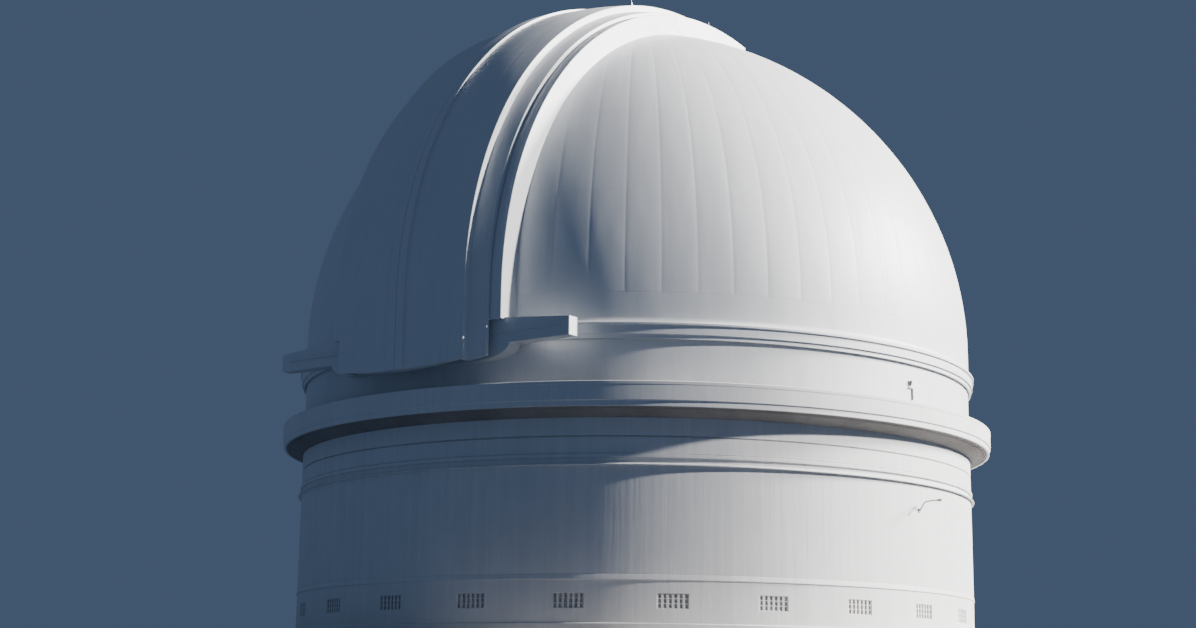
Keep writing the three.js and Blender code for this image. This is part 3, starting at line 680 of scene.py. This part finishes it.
belt_columns = [(math.radians(22 + k * 1.975), 0, 0.0) for k in range(161)]
bm = bmesh.new()
seamed_ring(bm, [(r, z, 0) for r, z in belt_profile],
            [(0.0, 0, BELT_EDGE)] + belt_columns + [(FULL_TURN, 0, -BELT_EDGE)])
make_piece(bm, "belt", "dome", belt_finish, ["belt_moulding"], edge=0.005)

# Rail beam. A welded box girder across the foot of the slit. Its top falls to its free ends,
# its middle is deeper, and the arches stand on it. The leaves' rollers run on a bar on its face.
BEAM_FRONT = -10.435
BEAM_BACK = -9.96
BEAM_TIP_BACK = -10.08
BEAM_TIP = 5.28
BEAM_TIP_TOP = 8.4
SHOULDER = 8.6
UNDERSIDE = 7.895
BELLY_HALF = 2.18
BELLY_CURVE = 1.1
BELLY_DEPTH = 0.4
ARCH_OUTER = 3.1
SLIT_HALF = 2.285
CHEEK = SLIT_HALF + 0.004
WELD_INSET = 0.02
WELD_WIDTH = 0.015
WELD_HEIGHT = 0.004
beam_finish = dome_paint("beam enamel", light=0.79, streak=0.06, plates=0.0, slit_axis=True)

beam_line = [(-CHEEK, DRUM_TOP), (-CHEEK, SHOULDER), (-ARCH_OUTER, SHOULDER),
             (-BEAM_TIP, BEAM_TIP_TOP), (-BEAM_TIP, UNDERSIDE)]
for t in range(0, 13):
    a = t * math.pi / 24
    beam_line.append((-BELLY_HALF - BELLY_CURVE * math.cos(a),
                      UNDERSIDE - BELLY_DEPTH * math.sin(a)))
beam_line += [(-x, z) for x, z in reversed(beam_line)]
bm = bmesh.new()
loft(bm, [[bm.verts.new((x, y, z)) for x, z in beam_line] for y in (BEAM_FRONT, BEAM_BACK)])
for x in (-ARCH_OUTER, ARCH_OUTER):
    bmesh.ops.bisect_plane(bm, geom=bm.verts[:] + bm.edges[:] + bm.faces[:], plane_co=(x, 0, 0),
                           plane_no=(1, 0, 0), dist=1e-5)
for v in bm.verts:
    if v.co.y > BEAM_FRONT + 0.1:
        beyond = max(abs(v.co.x) - ARCH_OUTER, 0.0) / (BEAM_TIP - ARCH_OUTER)
        v.co.y = BEAM_BACK + (BEAM_TIP_BACK - BEAM_BACK) * beyond
make_piece(bm, "rail_beam", "dome", beam_finish,
           ["front_rail_beam", "beam_end_left", "beam_end_right"], edge=0.012, cuts=3)
nodes["front_shutter_rail"].material_slots[0].material = beam_finish

bm = bmesh.new()
y0, y1 = BEAM_FRONT + WELD_INSET, BEAM_TIP_BACK - WELD_INSET
z0, z1 = UNDERSIDE + WELD_INSET, BEAM_TIP_TOP - WELD_INSET
for tip in (-BEAM_TIP, BEAM_TIP):
    x0, x1 = tip - WELD_HEIGHT, tip + WELD_HEIGHT
    for z in (z0, z1 - WELD_WIDTH):
        add_box(bm, (x0, y0, z), (x1, y1, z + WELD_WIDTH))
    for y in (y0, y1 - WELD_WIDTH):
        add_box(bm, (x0, y, z0 + WELD_WIDTH), (x1, y + WELD_WIDTH, z1 - WELD_WIDTH))
make_piece(bm, "beam_end_welds", "dome", beam_finish, edge=0.003, cuts=1)

# Slit arches. Two curved box girders that carry the slit's edges from the beam over the
# zenith. Their plates are butt welded every 11 degrees, and the welds are ground nearly flush.
SIDES = (("left", -1), ("right", 1))
ARCH_END = math.radians(9.2)
ARCH_HEEL = 8.55
ARCH_R = 10.6
ARCH_LOW_R = 9.7
SLIT_STEP = math.radians(1.25)
arch_enamel = dome_paint("arch enamel", light=0.82, streak=0.045, plates=0.03, slit_axis=True)


def over_slit(x, r, angle):
    """A point over the slit: x, radius, and angle from the zenith, negative over the slit."""
    return (x, r * math.sin(angle), SPRING_Z + r * math.cos(angle))


def slit_stations(end):
    """Angles from the springing line over the zenith, with a narrow joint at each plate's end."""
    begin = -math.pi / 2
    count = int(round((end - begin) / SLIT_STEP))
    stations = [(begin + (end - begin) * k / count, 0) for k in range(count + 1)]
    k = 1
    while begin + k * SLIT_PLATE < end - SLIT_PLATE / 3:
        middle = begin + k * SLIT_PLATE
        stations = [s for s in stations if abs(s[0] - middle) > 2.5 * GROOVE_HALF]
        stations += [(middle - GROOVE_HALF, 0), (middle, 1), (middle + GROOVE_HALF, 0)]
        k += 1
    return sorted(stations)


def sweep(bm, section, end, foot):
    """Sweeps (x, radius, cut) points up a straight foot and over the slit to an angle.
    Foot gives the height of the lower end at an x."""
    rings = [[bm.verts.new((x, -r, foot(x))) for x, r, cut in section]]
    for angle, seam in slit_stations(end):
        rings.append([bm.verts.new(over_slit(x, r - SEAM_DEPTH * seam * cut, angle))
                      for x, r, cut in section])
    loft(bm, rings)


arch_section = [(SLIT_HALF, ARCH_LOW_R, 0), (SLIT_HALF, ARCH_R - 0.01, 0),
                (SLIT_HALF + 0.01, ARCH_R, 1), (2.69, ARCH_R, 1), (ARCH_OUTER - 0.01, ARCH_R, 1),
                (ARCH_OUTER, ARCH_R - 0.01, 1), (ARCH_OUTER, 9.98, 0), (ARCH_OUTER, ARCH_LOW_R, 0)]
for side_name, sign in SIDES:
    bm = bmesh.new()
    sweep(bm, [(sign * x, r, cut) for x, r, cut in arch_section], ARCH_END, lambda x: ARCH_HEEL)
    make_piece(bm, "slit_arch_" + side_name + "_girder", "dome", arch_enamel,
               ["slit_arch_" + side_name], sharp=30)
nodes["rear_curb"].material_slots[0].material = arch_enamel

# Hemisphere. Steel plates on hidden ribs, butt welded in upright seams and level rows.
# Each plate bulges a few millimetres between its seams. White enamel, faintly streaked.
PLATE_BULGE = 0.0065
SEAM_SETBACK = 0.002
ROW_SEAM = 0.12
FOOT_SEAM = 0.65
SEAMS_END = 4 * ROW_SPACING


def row_levels(top):
    """Latitudes of the rows, each with how fully a level seam is there."""
    levels = []
    k = 0
    while k * ROW_SPACING < top:
        low = k * ROW_SPACING
        if k:
            levels += [(low - GROOVE_HALF, 0.0), (low, 1.0), (low + GROOVE_HALF, 0.0)]
        else:
            levels.append((0.0, FOOT_SEAM))
        levels += [(low + ROW_SPACING * i / 8, 0.0) for i in range(1, 8)]
        k += 1
    return [level for level in levels if level[0] < top]


def plate_columns(begin, end):
    """An angle, whether an upright seam is there, how far across the plate it lies, and
    whether the seam is one that ends below the top rows."""
    columns = []
    for k in range(-6, 29):
        seam = FIRST_SEAM + k * PLATE_SPACING
        ends_early = k % 2 == 1
        columns.append((seam, 1.0, 0.0, ends_early))
        for part in (0.02, 0.12, 0.28, 0.5, 0.72, 0.88, 0.98):
            columns.append((seam + part * PLATE_SPACING, 0.0, part, ends_early))
    return [c for c in columns if begin <= c[0] <= end]


def plate_radius(seam, part, row_seam, bulge):
    """The shell's outer radius at a part of a plate, with its bulge and its seams."""
    crown = bulge * (1 - (2 * part - 1) ** 2) * (1 - row_seam)
    return DOME_R - SEAM_SETBACK + crown - SEAM_DEPTH * max(seam, ROW_SEAM * row_seam)


def side_plate_radius(column, level):
    """The side plates are narrower near the zenith, so they bulge less there."""
    _, seam, part, ends_early = column
    latitude, row_seam = level
    if ends_early and latitude > SEAMS_END:
        seam = 0.0
    narrow = math.cos(latitude)
    return plate_radius(seam * narrow, part, row_seam, PLATE_BULGE * narrow ** 3)


def skin(bm, columns, levels, point):
    """A sheet of faces over a grid of columns and levels."""
    grid = [[bm.verts.new(point(column, level)) for level in levels] for column in columns]
    for here, there in zip(grid, grid[1:]):
        for i in range(len(levels) - 1):
            bm.faces.new((here[i], there[i], there[i + 1], here[i + 1]))
    return grid


def join_level(bm, outer, inner, i):
    """Faces from the outer skin to the inner one, along one of their levels."""
    for (a, b), (c, d) in zip(zip(outer, outer[1:]), zip(inner, inner[1:])):
        bm.faces.new((a[i], b[i], d[i], c[i]))


def side_point(sign, r, angle, latitude):
    """A point of the shell beside the slit. The angle is from the front."""
    x, y, _ = round_point(r * math.cos(latitude), angle, 0.0)
    return (sign * x, y, SPRING_Z + r * math.sin(latitude))


columns = plate_columns(math.radians(12), math.radians(168))
levels = row_levels(math.radians(76))
for side_name, sign in SIDES:
    bm = bmesh.new()
    outer = skin(bm, columns, levels, lambda column, level: side_point(
        sign, side_plate_radius(column, level), column[0], level[0]))
    inner = skin(bm, columns, levels, lambda column, level: side_point(
        sign, INNER_R, column[0], level[0]))
    join_level(bm, outer, inner, 0)
    bmesh.ops.bisect_plane(bm, geom=bm.verts[:] + bm.edges[:] + bm.faces[:],
                           plane_co=(sign * SLIT_EDGE, 0, 0), plane_no=(sign, 0, 0),
                           clear_inner=True)
    bmesh.ops.contextual_create(bm, geom=[e for e in bm.edges if e.is_boundary])
    make_piece(bm, "dome_plates_" + side_name, "dome", dome_enamel,
               ["dome_shell_front_" + side_name, "dome_shell_rear_" + side_name], sharp=30)

# Rear strip. The plates behind the slit, from the curb down to the springing line. They lie
# in three lanes between the side plates, with their rows level with the rest.
LANES = 3
LANE_WIDTH = 2 * ARCH_OUTER / LANES
STRIP_TOP = math.radians(80.797)


def rear_point(r, x, latitude):
    """A point of the shell behind the slit, in an upright plane at x."""
    reach = math.sqrt(r * r - x * x)
    return (x, reach * math.cos(latitude), SPRING_Z + reach * math.sin(latitude))


cross = []
for lane in range(LANES):
    left = -ARCH_OUTER + lane * LANE_WIDTH
    cross.append((left, 1.0 if lane else 0.0, 0.0))
    for part in (0.009, 0.12, 0.28, 0.5, 0.72, 0.88, 0.991):
        cross.append((left + part * LANE_WIDTH, 0.0, part))
cross.append((ARCH_OUTER, 0.0, 1.0))
levels = row_levels(math.radians(80.78)) + [(STRIP_TOP, 0.0)]
bm = bmesh.new()
outer = skin(bm, cross, levels, lambda column, level: rear_point(
    plate_radius(column[1], column[2], level[1], PLATE_BULGE), column[0], level[0]))
inner = skin(bm, cross, levels, lambda column, level: rear_point(INNER_R, column[0], level[0]))
join_level(bm, outer, inner, 0)
join_level(bm, outer, inner, -1)
for a, c in ((outer[0], inner[0]), (outer[-1], inner[-1])):
    for i in range(len(levels) - 1):
        bm.faces.new((a[i], a[i + 1], c[i + 1], c[i]))
make_piece(bm, "dome_plates_rear", "dome", dome_enamel, ["dome_shell_rear"], sharp=30)

# Shutter leaves. Steel sheet on curved ribs, one on each side of the slit. Each has a raised
# panel, a stepped flange that laps the arch, and half of the ridge that covers the seam.
APRON_MID = 7.325
APRON_EDGE = 7.56
APRON_HALF = 2.73
LEAF_END = math.radians(10.2)
MEETING_X = 0.005
RIDGE_X = 0.265
RIDGE_R = 11.36
PANEL_EDGE = 2.2
PANEL_EDGE_R = 11.06
PANEL_MID_R = 11.283
PANEL_CROWN = 0.213
PANEL_BACK_R = 10.98
FLANGE_EDGE = 2.725
FLANGE_BACK_R = 10.625
FLANGE_INNER_X = 2.06
SHEET_EDGE = 0.008
shutter_enamel = dome_paint("shutter enamel", light=0.8, streak=0.055, plates=0.05,
                            slit_axis=True)


def apron_foot(x):
    """The apron's lower edge dips to the middle in a shallow curve."""
    return APRON_MID + (APRON_EDGE - APRON_MID) * (abs(x) / APRON_HALF) ** 2


def panel_radius(x):
    """The panel is crowned from its edge up to the ridge."""
    return PANEL_MID_R - PANEL_CROWN * (x / PANEL_EDGE) ** 2


def slit_block(bm, x0, x1, r0, r1, half, deg):
    """A block that lies over the slit at an angle from the zenith."""
    place = Matrix.Translation((0, 0, SPRING_Z)) @ Matrix.Rotation(-math.radians(deg), 4, "X")
    add_box(bm, (min(x0, x1), -half, r0), (max(x0, x1), half, r1), place)


leaf_section = [(MEETING_X, PANEL_BACK_R, 0), (MEETING_X, RIDGE_R - SHEET_EDGE, 0),
                (MEETING_X + SHEET_EDGE, RIDGE_R, 1), (RIDGE_X - SHEET_EDGE, RIDGE_R, 1),
                (RIDGE_X, RIDGE_R - SHEET_EDGE, 1),
                (RIDGE_X, panel_radius(RIDGE_X) + SHEET_EDGE, 0)]
for x, drop in ((RIDGE_X + SHEET_EDGE, 0), (0.6, 0), (0.914, 0), (0.93, 0.005), (0.946, 0),
                (1.25, 0), (1.544, 0), (1.56, 0.005), (1.576, 0), (1.88, 0), (2.19, 0)):
    leaf_section.append((x, panel_radius(x) - drop, 1))
leaf_section += [(PANEL_EDGE, PANEL_EDGE_R, 1), (PANEL_EDGE, 10.876, 0), (2.206, 10.869, 0),
                 (2.46, 10.803, 1), (FLANGE_EDGE - SHEET_EDGE, 10.733, 1),
                 (FLANGE_EDGE, 10.723, 1), (FLANGE_EDGE, FLANGE_BACK_R, 0),
                 (FLANGE_INNER_X, FLANGE_BACK_R, 0), (FLANGE_INNER_X, PANEL_BACK_R, 0),
                 (1.03, PANEL_BACK_R, 0)]
ROLLER_PLACES = (0.45, 1.75)
ROLLER_Y = -10.4675
ROLLER_Z = 8.3053
ROLLER_R = 0.0748
ROLLER_WIDTH = 0.055
ARM_FRONT = -10.985
ARM_BACK = -10.48
ARM_HALF = 0.038
for side_name, sign in SIDES:
    body = side_name + "_leaf"
    bm = bmesh.new()
    sweep(bm, [(sign * x, r, cut) for x, r, cut in leaf_section], LEAF_END, apron_foot)
    make_piece(bm, "shutter_" + side_name + "_leaf", body, shutter_enamel,
               ["shutter_leaf_" + side_name], sharp=30)

    # End plate and shoe. The end plate closes the leaf behind the zenith, and the shoe under
    # the panel rides on the curb.
    bm = bmesh.new()
    slit_block(bm, sign * MEETING_X, sign * 2.07, FLANGE_BACK_R, PANEL_BACK_R + 0.005, 0.05, 9.9)
    slit_block(bm, sign * 0.12, sign * 0.62, 10.606, PANEL_BACK_R + 0.005, 0.11, 8.3)
    make_piece(bm, "shutter_" + side_name + "_end", body, shutter_enamel,
               edge=0.006)

    # Rollers. Turned steel wheels on short arms behind the apron, two to a leaf.
    bm = bmesh.new()
    for x in ROLLER_PLACES:
        add_box(bm, (sign * x - ARM_HALF, ARM_FRONT, ROLLER_Z - ARM_HALF),
                (sign * x + ARM_HALF, ARM_BACK, ROLLER_Z + ARM_HALF))
        wheel = Matrix.Translation((sign * x, ROLLER_Y, ROLLER_Z)) @ ALONG_Y
        add_rod(bm, wheel, ROLLER_R, ROLLER_R, length=ROLLER_WIDTH, sides=40)
    make_piece(bm, "shutter_" + side_name + "_rollers", body, shutter_enamel,
               edge=0.004)

# Lightning rods. Tapered steel rods on flanged sockets, on the right leaf beside its edge.
# They are galvanised, and dull grey.
ROD_X = 2.14
rod_steel = painted_metal("galvanised steel", grey(0.5, -0.01), grey(0.4), roughness=0.38,
                          metallic=1.0)
for end, degrees in (("front", -18), ("rear", 5)):
    nodes["lightning_rod_" + end].material_slots[0].material = rod_steel
    a = math.radians(degrees)
    foot = Vector(over_slit(ROD_X, panel_radius(ROD_X), a))
    bm = bmesh.new()
    flange = Matrix.Translation(foot) @ Matrix.Rotation(-a, 4, "X")
    add_rod(bm, flange, 0.05, 0.05, length=0.024, sides=24)
    socket = Matrix.Translation(foot + Vector((0, 0, 0.05)))
    add_rod(bm, socket, 0.027, 0.022, length=0.1, sides=24)
    make_piece(bm, "rod_socket_" + end, "right_leaf", rod_steel, edge=0.003)

# Drum lamp. A small grey lamp on a bent bracket, bolted to the drum's plates.
# The bracket is a flat bar with an arm to one side, and the lamp stands on its end.
lamp_paint = painted_metal("lamp paint", grey(0.3), grey(0.2, 0.1), roughness=0.45)
place = Matrix.Rotation(math.radians(83.9), 4, "Z")
tilt = Matrix.Rotation(math.radians(12), 4, "X")
bm = bmesh.new()
add_box(bm, (-0.018, -10.46, 7.0), (0.018, -10.418, 7.32), place)
add_box(bm, (-0.22, -10.458, 7.312), (0.018, -10.434, 7.336), place)
add_box(bm, (-0.13, -10.456, 7.33), (-0.11, -10.436, 7.42), place)
head = place @ Matrix.Translation((-0.12, -10.46, 7.47)) @ tilt
add_rod(bm, head, 0.034, 0.044, length=0.13, sides=28)
make_piece(bm, "drum_lamp", "dome", lamp_paint, edge=0.004)

# Wall lamp. A slim lamp on the end of a bent arm of steel tube that reaches out from the wall,
# with a round wall plate.
TUBE_R = 0.018
TUBE_SIDES = 14
place = Matrix.Rotation(math.radians(85.1), 4, "Z")
arm = [(10.425, 3.9), (10.47, 3.93), (10.53, 4.01), (10.59, 4.1), (10.66, 4.14), (10.84, 4.155),
       (11.02, 4.16)]
bm = bmesh.new()
rings = []
for k, (r, z) in enumerate(arm):
    before, after = arm[max(k - 1, 0)], arm[min(k + 1, len(arm) - 1)]
    slope = math.atan2(after[1] - before[1], after[0] - before[0])
    ring = []
    for i in range(TUBE_SIDES):
        t = i * 2 * math.pi / TUBE_SIDES
        across, up = TUBE_R * math.cos(t), TUBE_R * math.sin(t)
        ring.append(bm.verts.new(place @ Vector((across, -(r - up * math.sin(slope)),
                                                 z + up * math.cos(slope)))))
    rings.append(ring)
loft(bm, rings)
plate = place @ Matrix.Translation((0, -10.435, 3.9)) @ ALONG_Y
add_rod(bm, plate, 0.06, 0.06, length=0.02, sides=28)
head = place @ Matrix.Translation((0, -11.08, 4.155)) @ ALONG_Y
add_rod(bm, head, 0.024, 0.042, length=0.16, sides=32)
make_piece(bm, "wall_lamp", "building", lamp_paint, edge=0.005)

# Floor, lights and camera. A plain pale disc, a key light and a softer side light from the
# right, and a pale sky. The camera looks up from a low place in front, on the right.
FLOOR_R = 12.0
bm = bmesh.new()
bmesh.ops.create_circle(bm, cap_ends=True, segments=160, radius=FLOOR_R)
mesh = bpy.data.meshes.new("floor")
bm.to_mesh(mesh)
bm.free()
floor_paint, points = new_finish("floor paint")
coat(points, points.noise(0.3).between(grey(0.36, 0.06), grey(0.42, 0.06)), 0.8,
     points.noise(90.0), 0.001)
mesh.materials.append(floor_paint)
floor = bpy.data.objects.new("floor", mesh)
floor.location.z = -0.002
bpy.context.scene.collection.objects.link(floor)

for light_name, energy, width, towards in (
        ("key light", 7.5, 2.5, (0.7809, 0.46, 0.4226)),
        ("side light", 13.0, 12.0, (0.558, 0.714, 0.423))):
    light = bpy.data.lights.new(light_name, "SUN")
    light.energy = energy
    light.angle = math.radians(width)
    light.color = (1.0, 0.975, 0.94)
    lamp = bpy.data.objects.new(light_name, light)
    lamp.rotation_euler = Vector(towards).to_track_quat("Z", "Y").to_euler()
    bpy.context.scene.collection.objects.link(lamp)

sky = bpy.data.worlds.new("pale sky")
sky.use_nodes = True
sky.node_tree.nodes["Background"].inputs["Color"].default_value = (0.28, 0.42, 0.72, 1.0)
sky.node_tree.nodes["Background"].inputs["Strength"].default_value = 0.22
bpy.context.scene.world = sky

camera = bpy.data.cameras.new("camera")
camera.lens = 57.15
camera.sensor_width = 36.0
camera.clip_end = 300.0
camera_object = bpy.data.objects.new("camera", camera)
heading = 0.6400
pitch = 0.2056
roll = 0.0126
ahead = Vector((-math.sin(heading) * math.cos(pitch), math.cos(heading) * math.cos(pitch),
                math.sin(pitch)))
right = Vector((math.cos(heading), math.sin(heading), 0.0))
up = right.cross(ahead)
tilted_right = right * math.cos(roll) + up * math.sin(roll)
tilted_up = up * math.cos(roll) - right * math.sin(roll)
stand = Matrix((tilted_right, tilted_up, -ahead)).transposed().to_4x4()
stand.translation = Vector((34.825, -48.861, -1.667))
camera_object.matrix_world = stand
bpy.context.scene.collection.objects.link(camera_object)
bpy.context.scene.camera = camera_object
